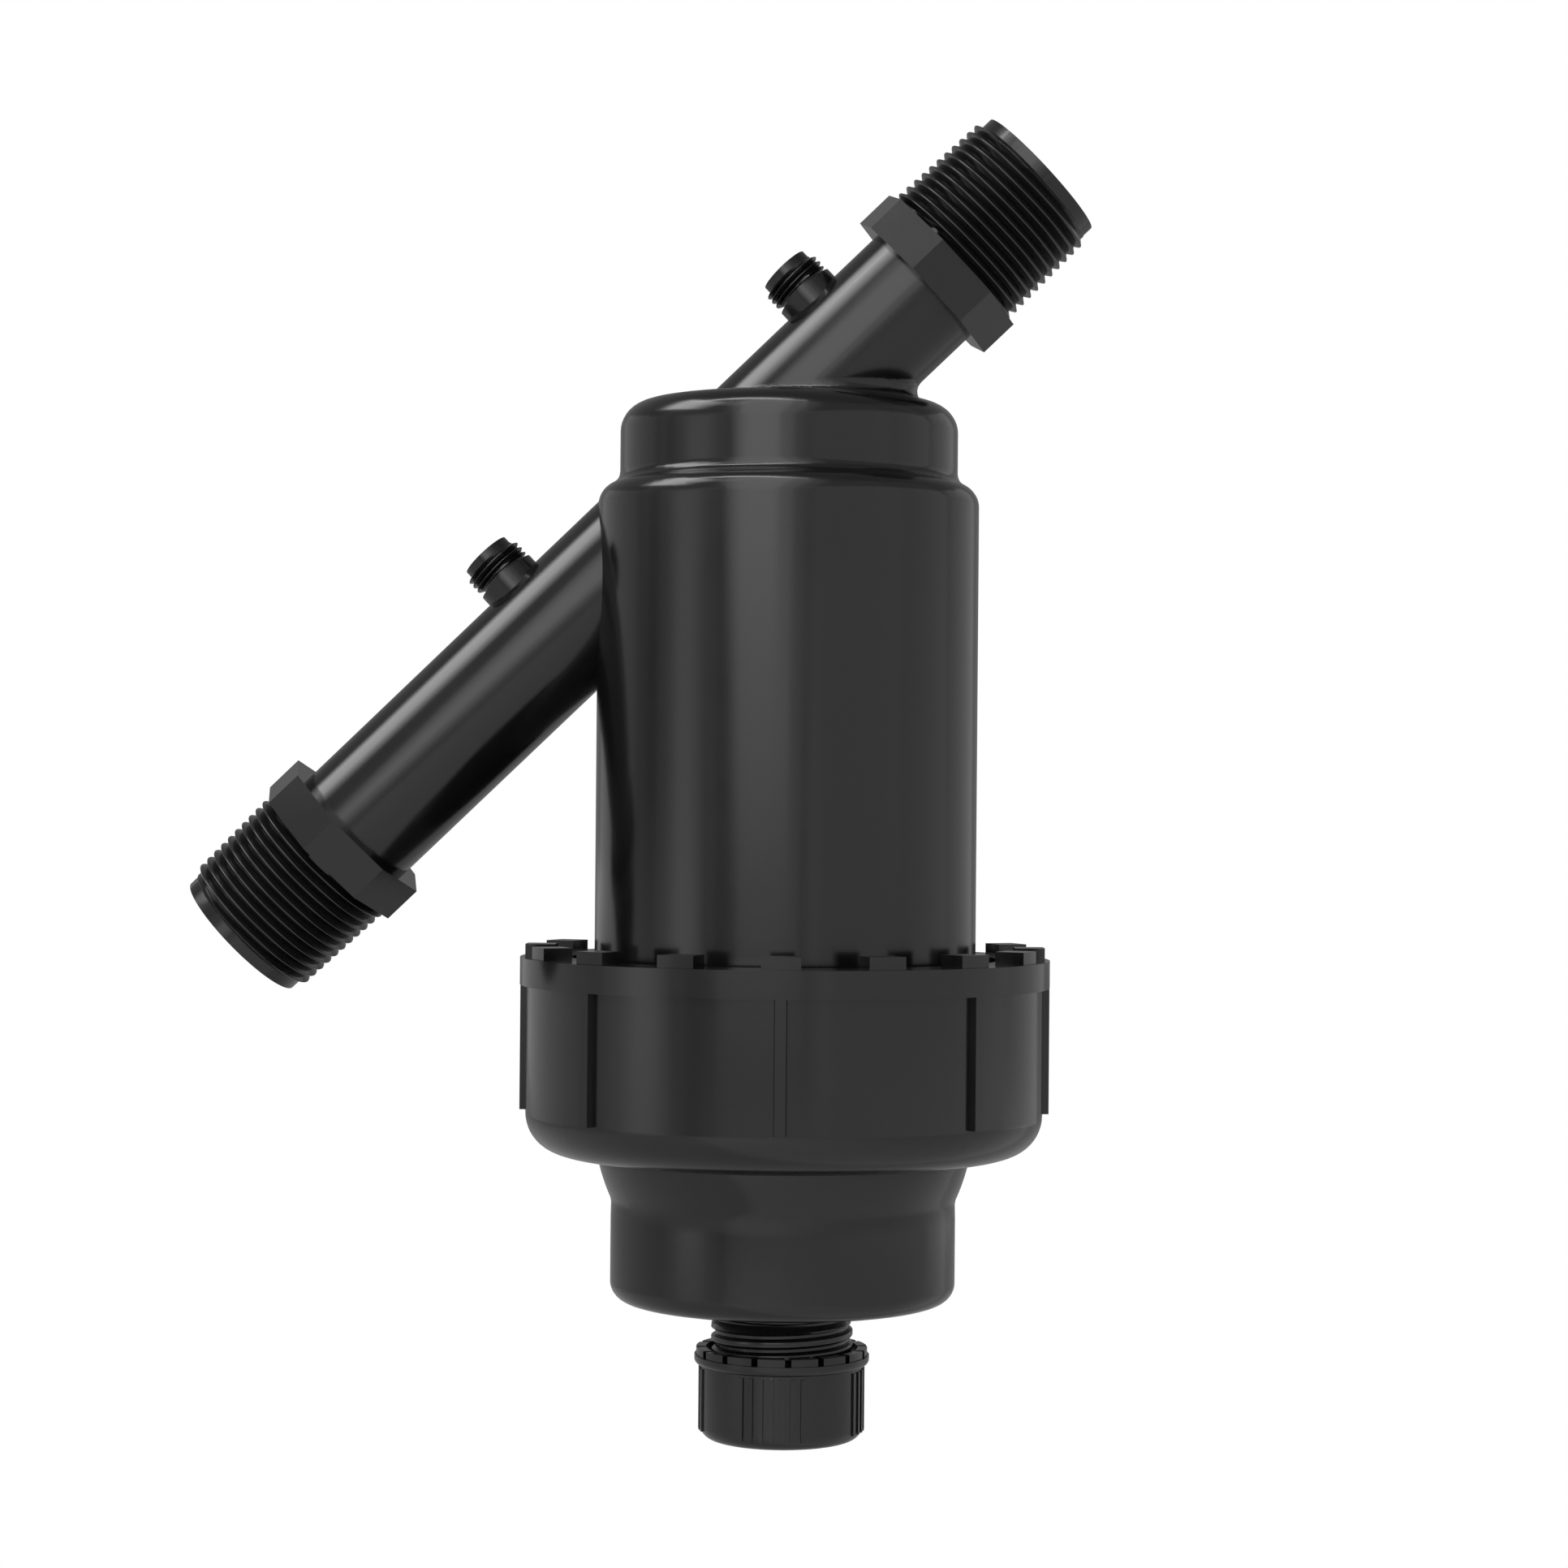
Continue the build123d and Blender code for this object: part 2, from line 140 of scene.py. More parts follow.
class Finish:
    """A material in the making."""

    def __init__(self, name, **constants):
        self.material = bpy.data.materials.new(name)
        self.material.use_nodes = True
        self.tree = self.material.node_tree
        self.surface = self.tree.nodes["Principled BSDF"]
        for socket, value in constants.items():
            self.surface.inputs[socket.replace("_", " ")].default_value = value

    def node(self, kind, settings=None, values=None, out=0):
        """Adds a node: its settings first, then the values or links of its sockets."""
        made = self.tree.nodes.new("ShaderNode" + kind)
        for key, value in (settings or {}).items():
            setattr(made, key, value)
        for key, value in (values or {}).items():
            self.plug(made.inputs[key], value)
        return Shade(self, made.outputs[out])

    def plug(self, socket, value):
        if isinstance(value, Shade):
            self.tree.links.new(value.socket, socket)
        else:
            socket.default_value = value

    def set(self, socket, value):
        self.plug(self.surface.inputs[socket], value)


# %% [markdown]
# Three helpers are all that the finishes below need: a soft random field on the piece's own coordinates,
# a colour between two, and a bump. The bump's strength and distance are 1, so that its height is in metres
# and a wave on the plastic can be given in microns.

# %% Noise, blend and bump
MICRON = 0.000001


def noise(finish, size, detail=2.0, roughness=0.5):
    """A soft random field from 0 to 1, whose lumps are about size across."""
    place = finish.node("TexCoord", out=3)
    return finish.node("TexNoise", {}, {
        "Vector": place, "Scale": 1 / size, "Detail": detail, "Roughness": roughness})


def blend(finish, share, first, second):
    """A colour between two, by a share from 0 to 1."""
    return finish.node("Mix", {"data_type": "RGBA"}, {0: share, 6: first, 7: second}, out=2)


def bump(finish, height):
    """Tilts the light on the surface as that height, in metres, would."""
    finish.set("Normal", finish.node("Bump", {}, {"Strength": 1.0, "Distance": 1.0, "Height": height}))


# %% [markdown]
# ## Black moulded plastic
# The mouldings are black nylon or polypropylene from a polished tool: nearly no colour of their own, and
# a satin gloss that mirrors the room as wide soft bands. What keeps them from looking drawn is small:
# the gloss is a little uneven where the plastic flowed, the wall waves by microns, and a fine grain
# breaks up the edge of each reflection. Each moulding gets its own mix of the three.

# %% Moulded plastic
FLOW_SIZE = 14 * MM
PATCH_SIZE = 3.2 * MM
GRAIN_SIZE = 0.45 * MM


def moulded_plastic(name, dark, light, gloss, wave, grain):
    """dark and light are the two blacks, gloss the mean roughness, wave and grain heights in metres."""
    finish = Finish(name, IOR=1.5)
    flow = noise(finish, FLOW_SIZE, 3.0)
    patch = noise(finish, PATCH_SIZE, 2.0)
    fine = noise(finish, GRAIN_SIZE, 2.0)
    finish.set("Base Color", blend(finish, 0.6 * flow + 0.4 * patch, dark, light))
    finish.set("Roughness", gloss - 0.03 + 0.06 * flow + 0.02 * fine)
    bump(finish, wave * flow + 0.3 * wave * patch + grain * fine)
    return finish.material


BLACK = (0.0030, 0.0030, 0.0031, 1)
SOFT_BLACK = (0.0058, 0.0058, 0.0060, 1)
CORE_BLACK = (0.010, 0.010, 0.010, 1)
housing_plastic = moulded_plastic("housing_plastic", BLACK, SOFT_BLACK, 0.155, 2 * MICRON, 0.2 * MICRON)
nut_plastic = moulded_plastic("nut_plastic", BLACK, SOFT_BLACK, 0.16, 2 * MICRON, 0.3 * MICRON)
bowl_plastic = moulded_plastic("bowl_plastic", BLACK, SOFT_BLACK, 0.155, 2 * MICRON, 0.2 * MICRON)
cap_plastic = moulded_plastic("cap_plastic", BLACK, SOFT_BLACK, 0.19, 2 * MICRON, 0.4 * MICRON)
core_plastic = moulded_plastic("core_plastic", BLACK, CORE_BLACK, 0.38, 5 * MICRON, 0.5 * MICRON)
print("plastics:", [name for name in bpy.data.materials.keys() if "plastic" in name])

# %% [markdown]
# ## Disc plastic and rubber
# The discs are dyed, because their colour tells how fine they filter, and the dye is a little deeper where
# the wall is thin. The seals are dull rubber with a dusty bloom. Both are mixed from a cloud of noise, and
# both are much rougher than the mouldings, so the lamps show on them only as a soft sheen.

# %% Disc plastic and rubber
DEEP_RED = (0.42, 0.016, 0.012, 1)
THIN_RED = (0.56, 0.030, 0.020, 1)
RUBBER = (0.010, 0.010, 0.010, 1)
BLOOM = (0.028, 0.028, 0.027, 1)


def disc_plastic_finish():
    """Red disc plastic."""
    finish = Finish("disc_plastic", IOR=1.5)
    finish.set("Base Color", blend(finish, noise(finish, 9 * MM, 2.0), DEEP_RED, THIN_RED))
    finish.set("Roughness", 0.36 + 0.08 * noise(finish, 1.5 * MM))
    bump(finish, 6 * MICRON * noise(finish, 0.6 * MM))
    return finish.material


def seal_rubber_finish():
    """Dull black rubber with a dusty bloom."""
    finish = Finish("seal_rubber", IOR=1.48)
    bloom = noise(finish, 2.5 * MM, 4.0, 0.6)
    finish.set("Base Color", blend(finish, bloom, RUBBER, BLOOM))
    finish.set("Roughness", 0.55 + 0.15 * bloom)
    bump(finish, 8 * MICRON * noise(finish, 0.3 * MM))
    return finish.material


disc_plastic = disc_plastic_finish()
seal_rubber = seal_rubber_finish()
print("finishes:", bpy.data.materials.keys())

# %% [markdown]
# Every solid gets its finish, also the seals, which stay as they came from the drawing, and the solids that
# a dressed copy will stand for further down. One table says which is which, so that a change of finish is
# a change of one word.

# %% Finish of each solid
FINISH_OF = {
    "housing": housing_plastic,
    "union_nut": nut_plastic,
    "bowl": bowl_plastic,
    "drain_cap": cap_plastic,
    "disc_core": core_plastic,
    "pressure_plate": core_plastic,
    "hand_nut": core_plastic,
    "disc_stack": disc_plastic,
    "bowl_seal": seal_rubber,
    "drain_seal": seal_rubber,
    "nozzle_seal": seal_rubber,
}
for node, material in FINISH_OF.items():
    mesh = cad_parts[node].data
    mesh.materials.clear()
    mesh.materials.append(material)
print("finished nodes:", len(FINISH_OF))

# %% [markdown]
# ## Light and background
# The studio is a grey room with a white backdrop. The backdrop is white to the camera alone, and gives the
# part only a dim glow, or else the black plastic would look grey.

# %% World
ROOM_GLOW = 0.24

world = bpy.data.worlds.new("studio")
bpy.context.scene.world = world
world.use_nodes = True
room = world.node_tree
backdrop = room.nodes["Background"]
rays = room.nodes.new("ShaderNodeLightPath")


def room_value(operation, first, second):
    node = room.nodes.new("ShaderNodeMath")
    node.operation = operation
    for socket, value in zip(node.inputs, (first, second)):
        if isinstance(value, bpy.types.NodeSocket):
            room.links.new(value, socket)
        else:
            socket.default_value = value
    return node.outputs[0]


backdrop.inputs["Color"].default_value = (1, 1, 1, 1)
seen = room_value("MAXIMUM", rays.outputs["Is Camera Ray"], rays.outputs["Is Transmission Ray"])
glow = room_value("ADD", ROOM_GLOW, room_value("MULTIPLY", seen, 1 - ROOM_GLOW))
room.links.new(glow, backdrop.inputs["Strength"])
print("room glow:", ROOM_GLOW)

# %% [markdown]
# Black plastic is a dim mirror, so each lamp shows as a band on the walls. A big box beside the camera
# gives the wide band, a strip on the left the narrow one, a box high on the left the bright line along the
# pipe, and a tube overhead the thin lines on the shoulder and the dome. Pale walls at the sides and the
# lit paper under the part lift what faces them. The cloth of a softbox dims towards its edges, so a lamp is
# made of a few sheets of light, each a little larger than the last. They stand a finger's width apart,
# because sheets at the very same distance would hide each other.

# %% Lamps
AIM = RIM + Vector((0, 0, 20 * MM))
SHEET_GAP = 0.01


def sheet_of_light(name, azimuth, elevation, distance, left, right, low, high, radiance):
    """A rectangle of light square to the direction of azimuth and elevation, which it is seen in from
    the part. Azimuth 0 is the front and grows to the right. The edges are in metres from its middle."""
    turn = radians(azimuth)
    rise = radians(elevation)
    back = Vector((sin(turn) * cos(rise), -cos(turn) * cos(rise), sin(rise)))
    aside = Vector((cos(turn), sin(turn), 0))
    above = back.cross(aside)
    lamp = bpy.data.lights.new(name, "AREA")
    lamp.shape = "RECTANGLE"
    lamp.size = right - left
    lamp.size_y = high - low
    lamp.energy = pi * lamp.size * lamp.size_y * radiance
    holder = bpy.data.objects.new(name, lamp)
    middle = AIM + distance * back + (left + right) / 2 * aside + (low + high) / 2 * above
    holder.matrix_world = Matrix.Translation(middle) @ Matrix((aside, above, back)).transposed().to_4x4()
    holder.visible_camera = False
    bpy.context.scene.collection.objects.link(holder)


def soft_lamp(name, azimuth, elevation, distance, *sheets):
    """One lamp made of sheets, each given as left, right, low, high and radiance."""
    for step, sheet in enumerate(sheets):
        sheet_of_light("%s_%d" % (name, step), azimuth, elevation, distance + SHEET_GAP * step, *sheet)


soft_lamp("front_box", -13, 33, 1.6,
          (-0.62, 0.36, -0.84, 1.0, 0.90),
          (-0.51, 0.66, -1.05, 1.0, 0.70),
          (-0.38, 0.96, -1.28, 1.0, 0.50))
soft_lamp("left_box", -84.5, 42.5, 1.6,
          (-0.27, 0.27, -0.27, 0.39, 1.84),
          (-0.36, 0.42, -0.27, 0.39, 1.84),
          (-0.47, 0.60, -0.27, 0.39, 1.84))
soft_lamp("left_strip", -57.5, -0.5, 1.6,
          (-0.14, 0.14, -0.24, 0.24, 0.22),
          (-0.25, 0.25, -0.32, 0.32, 0.22),
          (-0.37, 0.37, -0.40, 0.40, 0.22),
          (-0.60, 0.60, -0.60, 0.60, 0.22))
sheet_of_light("front_low", 0, -5, 2.2, -2.0, 1.0, -0.15, 0.4, 0.12)
sheet_of_light("right_wall", 68, -8, 1.9, -2.5, 2.1, -1.3, 1.5, 0.34)
sheet_of_light("right_wall_top", 68, -8, 1.95, -2.2, 2.2, -1.3, 3.2, 0.12)
sheet_of_light("back_wall", 132, -8, 1.9, -0.55, 0.8, -1.3, 1.3, 0.32)
sheet_of_light("room_front", 5, 0, 2.4, -7, 7, -7, 7, 0.08)
sheet_of_light("left_wall", -100, -20, 2.1, -3.0, 3.0, -1.5, 0.7, 0.32)
sheet_of_light("left_wall_top", -62, 20, 2.1, -1.2, 1.2, -0.5, 0.7, 0.16)
soft_lamp("left_back", -118, 6, 2.3,
          (-1.2, 0.9, -0.32, 0.6, 0.14),
          (-1.2, 1.4, -0.32, 0.6, 0.10))
sheet_of_light("floor_glow", -35, -90, 0.31, 0.08, 3.0, -2.5, 2.5, 0.22)
sheet_of_light("floor_behind", 0, -90, 0.32, -2.0, 2.0, -2.5, -0.06, 0.46)
sheet_of_light("between_boxes", -51, 48, 1.63, -0.28, 0.34, -0.18, 0.30, 0.75)
soft_lamp("top_tube", -24.7, 69, 1.6,
          (-0.50, 0.22, -0.05, 0.07, 3.6),
          (-0.80, 0.36, -0.05, 0.07, 3.6),
          (-1.05, 0.60, -0.05, 0.07, 3.6))
print("lamps:", [light.name for light in bpy.data.lights])

# %% [markdown]
# The floor is a sheet of pale paper that lies well under the part, so that the bowl can be drawn out above
# it. The camera sees it as pure white, and the part sees it as paper.

# %% Floor
FLOOR_LEVEL = -0.30
FLOOR_HALF = 6
PAPER_GREY = (0.60, 0.60, 0.60, 1)

floor_mesh = bpy.data.meshes.new("floor")
paper_sheet = bmesh.new()
bmesh.ops.create_grid(paper_sheet, x_segments=1, y_segments=1, size=FLOOR_HALF)
bmesh.ops.translate(paper_sheet, verts=paper_sheet.verts, vec=(RIM.x, 0, FLOOR_LEVEL))
paper_sheet.to_mesh(floor_mesh)
paper_sheet.free()
floor = bpy.data.objects.new("floor", floor_mesh)
bpy.context.scene.collection.objects.link(floor)
paper = Finish("floor_paper", Roughness=0.9)
paper.set("Base Color", PAPER_GREY)
camera_ray = paper.node("LightPath")
white = paper.node("Emission", {}, {"Color": (1, 1, 1, 1), "Strength": 1.0})
grey = Shade(paper, paper.surface.outputs[0])
mixed = paper.node("MixShader", {}, {0: camera_ray, 1: grey, 2: white})
paper.plug(paper.tree.nodes["Material Output"].inputs["Surface"], mixed)
floor_mesh.materials.append(paper.material)
print("floor level, m:", FLOOR_LEVEL)

# %% [markdown]
# ## Moulded edges
# A solid from the workshop drawing has knife edges, and a moulding never does: the tool's corners are
# rounded, and each round catches a thin line of light. A copy of each solid gets that round. The copy's
# loose triangles are joined first, and flat faces are made whole, so that a bevel has clean edges to run
# along. The round is small, because the big roundings are in the solid already. A Bevel modifier would
# round them too, but the operator takes a list of edges, and so it can leave out the stretches of thread.

# %% Copies with rounded edges
SHARP = radians(30)
NEARLY_FLAT = radians(0.4)
SAME_PLACE = 0.004 * MM
MOULDED_EDGE = 0.25 * MM


def joined_copy(node):
    """The solid's mesh with its loose triangles joined."""
    shape = bmesh.new()
    shape.from_mesh(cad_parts[node].data)
    bmesh.ops.remove_doubles(shape, verts=shape.verts, dist=SAME_PLACE)
    return shape


def distance_from(point, start, axis):
    """How far along an axis a point is, and how far from it."""
    step = point - start
    run = step.dot(axis)
    return run, (step - run * axis).length


def on_stretch(point, stretches):
    """Whether a point lies on one of the round stretches, each with its axis, its ends and its radii."""
    for start, axis, first_run, last_run, least, most in stretches:
        run, radius = distance_from(point, start, axis)
        if first_run <= run <= last_run and least <= radius <= most:
            return True
    return False


def round_edges(shape, size, segments=2, left_out=()):
    """Makes flat faces whole, and rounds every edge sharper than SHARP, but not on threads."""
    bmesh.ops.dissolve_limit(shape, angle_limit=NEARLY_FLAT, verts=shape.verts, edges=shape.edges)
    crisp = [edge for edge in shape.edges if len(edge.link_faces) == 2 and edge.calc_face_angle() > SHARP
             and not all(on_stretch(vertex.co, left_out) for vertex in edge.verts)]
    bmesh.ops.bevel(shape, geom=crisp, offset=size, offset_type="OFFSET", segments=segments, profile=0.5,
                    affect="EDGES", clamp_overlap=True, material=-1)
    return len(crisp)


def finish_piece(shape, name, body, material, node=None, sharp=38):
    """Makes a bmesh a piece on its body, smooth up to sharp degrees. With node, it stands for that solid."""
    mesh = bpy.data.meshes.new(name)
    shape.to_mesh(mesh)
    shape.free()
    mesh.shade_smooth()
    mesh.set_sharp_from_angle(angle=radians(sharp))
    mesh.materials.append(material)
    piece = bpy.data.objects.new(name, mesh)
    bpy.context.scene.collection.objects.link(piece)
    weighted = piece.modifiers.new("even_light", "WEIGHTED_NORMAL")
    weighted.keep_sharp = True
    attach(piece, body)
    if node:
        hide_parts(node)
    return piece


# %% [markdown]
# ## Room for the threads, and true walls
# The solids end at the crests of their threads. Before a thread is cut, its stretch of wall is pulled in
# to the root. On the long round walls the loose triangles are uneven, and their mixed normals would show
# as streaks in the reflections. A wall's true normal is known, straight out from its axis, so the corners
# on such walls get just that, and the flats of the wrench collars get the normal of their own face.

# %% Pulled-in walls and true normals
ON_WALL = 0.03 * MM
ON_ROUND = 0.015 * MM
FLAT_AREA = 3 * MM * MM
SAME_SIDE = 0.75


def move_to_radius(shape, start, axis, first_run, last_run, old_radius, radius_at):
    """Pulls a plain cylinder in to the root of the thread that will be cut on it."""
    moved = 0
    for vertex in shape.verts:
        run, radius = distance_from(vertex.co, start, axis)
        if first_run <= run <= last_run and abs(radius - old_radius) < ON_WALL:
            foot = start + run * axis
            vertex.co = foot + (vertex.co - foot) * (radius_at(run) / radius)
            moved += 1
    return moved


def true_rounds(piece, rounds, flats):
    """Gives the corners on round walls and on flats their true normals, so that they reflect evenly."""
    settled = piece.evaluated_get(bpy.context.evaluated_depsgraph_get())
    normals = [corner.vector.copy() for corner in settled.data.corner_normals]
    mesh = piece.data
    outward = {}
    for vertex in mesh.vertices:
        for start, axis, radius in rounds:
            run, reach = distance_from(vertex.co, start, axis)
            if abs(reach - radius) < ON_ROUND:
                outward.setdefault(vertex.index, []).append((vertex.co - start - run * axis) / reach)
    placed = 0
    for face in mesh.polygons:
        if face.area > FLAT_AREA and on_stretch(face.center, flats):
            for corner in face.loop_indices:
                normals[corner] = face.normal
            continue
        for corner, vertex in zip(face.loop_indices, face.vertices):
            for normal in outward.get(vertex, ()):
                if face.normal.dot(normal) > SAME_SIDE:
                    normals[corner] = normal
                    placed += 1
    piece.modifiers.clear()
    mesh.normals_split_custom_set(normals)
    return placed


# %% [markdown]
# ## Screw threads
# A thread is one tooth section that is spun about the axis while it climbs by the pitch each turn, which is
# just what the spin operator does when it is given a climb. The section is closed, and its foot is sunk a
# little in the root cylinder, so each thread is a solid ridge. The tooth is low where it starts and where
# it runs out, as on a real screw. The spin is done at a radius of 1 m, where the section's heights are plain
# shares, and each corner is then set at its own radius, so that a pipe thread can follow its taper. A Screw
# modifier climbs in the same way, but it can't change the tooth on its way.

# %% The ridge of a screw
TOOTH_SINK = 0.2 * MM


def ramp(value, low, high):
    """0 below low, 1 above high, and smooth between them."""
    share = min(max((value - low) / (high - low), 0), 1)
    return share * share * (3 - 2 * share)


def swell(run, low, high, rise, fall):
    """0 outside low and high, 1 well between them, with a smooth rise and a smooth fall."""
    return ramp(run, low, low + rise) * (1 - ramp(run, high - fall, high))


def screw_ridge(start, axis, first_run, side, tooth, pitch, turns, steps, height_at):
    """Spins a tooth, given as (share of pitch, share of height) corners, and then sets each height.

    The ridge begins first_run after start, on the side given. height_at gives the root radius and the
    tooth's height for a distance along the axis from start.
    """
    begin = start + axis * first_run
    ridge = bmesh.new()
    corners = [ridge.verts.new(begin + axis * (share * pitch) + side * (1 + height))
               for share, height in tooth]
    face = ridge.faces.new(corners)
    bmesh.ops.spin(ridge, geom=[face, *face.edges, *face.verts], cent=begin, axis=axis,
                   dvec=axis * (pitch / steps), angle=2 * pi * turns, steps=round(turns * steps),
                   use_merge=False, use_duplicate=False)
    for vertex in ridge.verts:
        run, radius = distance_from(vertex.co, begin, axis)
        foot = begin + run * axis
        root, height = height_at(run + first_run)
        share = radius - 1
        radius = root - TOOTH_SINK if share < -0.01 else root + share * height
        vertex.co = foot + (vertex.co - foot).normalized() * radius
    bmesh.ops.recalc_face_normals(ridge, faces=ridge.faces)
    return ridge


# %% [markdown]
# ## Housing
# The housing's copy has its three kinds of thread cut: the taper pipe thread on each end of the slanted
# pipe, the small parallel threads of the two gauge ports, and the coarse thread under the nut, which only
# shows once the bowl is drawn. Here are the sizes of the three, measured from each end's open face or,
# under the nut, down from the rim.

# %% Sizes of the housing's threads
ENDS = ((Vector((0, 0, 0)), ALONG), (ALONG * LINE_LENGTH, -ALONG))
PIPE_TOOTH = ((-0.5, -0.1), (-0.5, 0.0), (-0.14, 0.80), (-0.07, 0.95), (0.0, 1.0), (0.07, 0.95),
              (0.14, 0.80), (0.5, 0.0), (0.5, -0.1))
PIPE_PITCH = 2.05 * MM
PIPE_RUN = (2.4 * MM, 25.1 * MM)
PIPE_ROOTS = (15.15 * MM, 15.65 * MM)
PIPE_CRESTS = (16.3 * MM, 17.0 * MM)
PIPE_ROOT_DROP = 0.1 * MM

INLET_RUN = RIM.x / cos(LINE_ANGLE)
PORT_RUNS = (INLET_RUN - 65.5 * MM, INLET_RUN + 19.45 * MM)
PORT_TOP = 22.3 * MM
PORTS = [(ALONG * port_run + UPWARD * PORT_TOP, -UPWARD) for port_run in PORT_RUNS]
PORT_TOOTH = ((-0.5, -0.3), (-0.5, 0.0), (-0.12, 0.86), (-0.04, 1.0), (0.04, 1.0), (0.12, 0.86),
              (0.5, 0.0), (0.5, -0.3))
PORT_PITCH = 1.28 * MM
PORT_RUN = (1.65 * MM, 5.4 * MM)
PORT_ROOT = 5.6 * MM
PORT_HEIGHT = 0.85 * MM
PORT_ROOT_DROP = 0.1 * MM
PORT_GROOVE = 5.2 * MM

JOINT_TOOTH = ((-0.40, -0.2), (-0.38, 0.0), (-0.20, 1.0), (0.20, 1.0), (0.38, 0.0), (0.40, -0.2))
JOINT_PITCH = 5.5 * MM
JOINT_START = 2.4 * MM
JOINT_ROOT = 41.5 * MM
JOINT_HEIGHT = 1.65 * MM


def along_taper(run, ends):
    share = (run - PIPE_RUN[0]) / (PIPE_RUN[1] - PIPE_RUN[0])
    return ends[0] + (ends[1] - ends[0]) * share


print("port runs, mm:", [round(port_run / MM, 2) for port_run in PORT_RUNS])

# %% [markdown]
# Each row below is a stretch of wall that is pulled in: its axis, where it starts and ends, the solid's
# radius there, and the new radius. The rows of `THREADED` say where no edge is rounded, because a thread
# will cover it: an axis, a start and an end, and the least and the greatest radius.

# %% Housing body
PULLED_IN = [(start, axis, -0.1 * MM, 25.2 * MM, 16.6 * MM,
              lambda run: along_taper(run, PIPE_ROOTS) - PIPE_ROOT_DROP) for start, axis in ENDS]
for port_top, down in PORTS:
    PULLED_IN += [(port_top, down, 0, 6.4 * MM, 6.4 * MM, lambda run: PORT_ROOT - PORT_ROOT_DROP),
                  (port_top, down, 5.2 * MM, 6.3 * MM, 5.7 * MM, lambda run: PORT_GROOVE)]
PULLED_IN += [(RIM, -UP, 0.9 * MM, 24.3 * MM, 43.2 * MM, lambda run: JOINT_ROOT)]

THREADED = [(start, axis, 2.3 * MM, 25.2 * MM, 14.5 * MM, 17.3 * MM) for start, axis in ENDS]
THREADED += [(port_top, down, 1.6 * MM, 6.35 * MM, 4 * MM, 6.45 * MM) for port_top, down in PORTS]
THREADED += [(RIM, -UP, 0.9 * MM, 24.3 * MM, 40 * MM, 43.5 * MM)]

housing_shape = joined_copy("housing")
print("housing vertices pulled in:", sum(move_to_radius(housing_shape, *row) for row in PULLED_IN))
print("edges rounded:", round_edges(housing_shape, MOULDED_EDGE, left_out=THREADED))
housing = finish_piece(housing_shape, "housing_moulding", "housing_body", housing_plastic, "housing")

# %% [markdown]
# The walls that show the long bands of light are the pipe with its leads, the body, the neck, and the
# collars and leads of the ports. The flats of the wrench collars are picked by where they lie, because
# they share their corners with rounded edges.

# %% True walls of the housing
PIPE_RADIUS = 13.95 * MM
PIPE_LEAD = 15.05 * MM
BODY_RADIUS = 39.0 * MM
NECK_RADIUS = 34.6 * MM
PORT_COLLAR = 6.55 * MM
PORT_LEAD = 5.35 * MM

ROUND_WALLS = [(ENDS[0][0], ALONG, PIPE_RADIUS), (ENDS[0][0], ALONG, PIPE_LEAD), (RIM, UP, BODY_RADIUS),
               (RIM, UP, NECK_RADIUS)]
ROUND_WALLS += [(port_top, down, radius) for port_top, down in PORTS for radius in (PORT_COLLAR, PORT_LEAD)]
COLLAR_FLATS = [(start, axis, 25 * MM, 33.5 * MM, 14.2 * MM, 18.8 * MM) for start, axis in ENDS]
print("corners on round walls:", true_rounds(housing, ROUND_WALLS, COLLAR_FLATS))

# %% [markdown]
# A real thread starts in its lead, where nothing of it is left to see. So each pipe ridge starts at the
# back of the part with its root sunk in the lead, and each port's ridge sinks away at both ends, the lower
# one into the groove over the port's collar.

# %% Pipe threads
PIPE_TURNS = 11.5
PIPE_STEPS = 96


def pipe_height(run):
    """Root radius and tooth height at a distance from the pipe's end. The start lies hidden in the lead."""
    root = along_taper(run, PIPE_ROOTS) - 0.5 * MM * (1 - ramp(run, PIPE_RUN[0] - 0.2 * MM, PIPE_RUN[0]))
    start_share = ramp(run, PIPE_RUN[0] - 0.1 * MM, PIPE_RUN[0] + 0.8 * MM)
    return root, (along_taper(run, PIPE_CRESTS) - root) * start_share


for place, (start, axis) in zip(("inlet", "outlet"), ENDS):
    ridge = screw_ridge(start, axis, PIPE_RUN[0] + 0.3 * MM - PIPE_PITCH / 2, BACK, PIPE_TOOTH, PIPE_PITCH,
                        PIPE_TURNS, PIPE_STEPS, pipe_height)
    print(place, "thread faces:", len(ridge.faces))
    finish_piece(ridge, place + "_thread", "housing_body", housing_plastic, sharp=70)

# %% [markdown]
# The ports take a gauge or a plug. Their thread is parallel, small and only three turns long, so the places
# where it starts and stops matter more than its tooth: the ridge grows out of the lead, and it ends in the
# groove, which lets a nut run up to the collar.

# %% Port threads
PORT_TURNS = 3.6
PORT_STEPS = 60


def port_height(run):
    """Root and height at a distance below the port's open end. Both ends of the ridge sink away."""
    low, high = PORT_RUN
    sink = 1 - ramp(run, low - 0.1 * MM, low + 0.1 * MM) + ramp(run, high - 0.4 * MM, high + 0.2 * MM)
    share = swell(run, low, high + 0.2 * MM, 0.4 * MM, 0.5 * MM)
    return PORT_ROOT - 0.6 * MM * sink, PORT_HEIGHT * share


for place, (port_top, down) in zip(("inlet", "outlet"), PORTS):
    ridge = screw_ridge(port_top, down, PORT_RUN[0] + 0.05 * MM - PORT_PITCH / 2, BACK, PORT_TOOTH,
                        PORT_PITCH, PORT_TURNS, PORT_STEPS, port_height)
    print(place, "port thread faces:", len(ridge.faces))
    finish_piece(ridge, place + "_port_thread", "housing_body", housing_plastic, sharp=50)

# %% [markdown]
# The thread that holds the bowl is coarse, with flat crests, so that wet hands can undo it in a few turns.
# It has room on both sides of its tooth, because the nut's thread runs there.

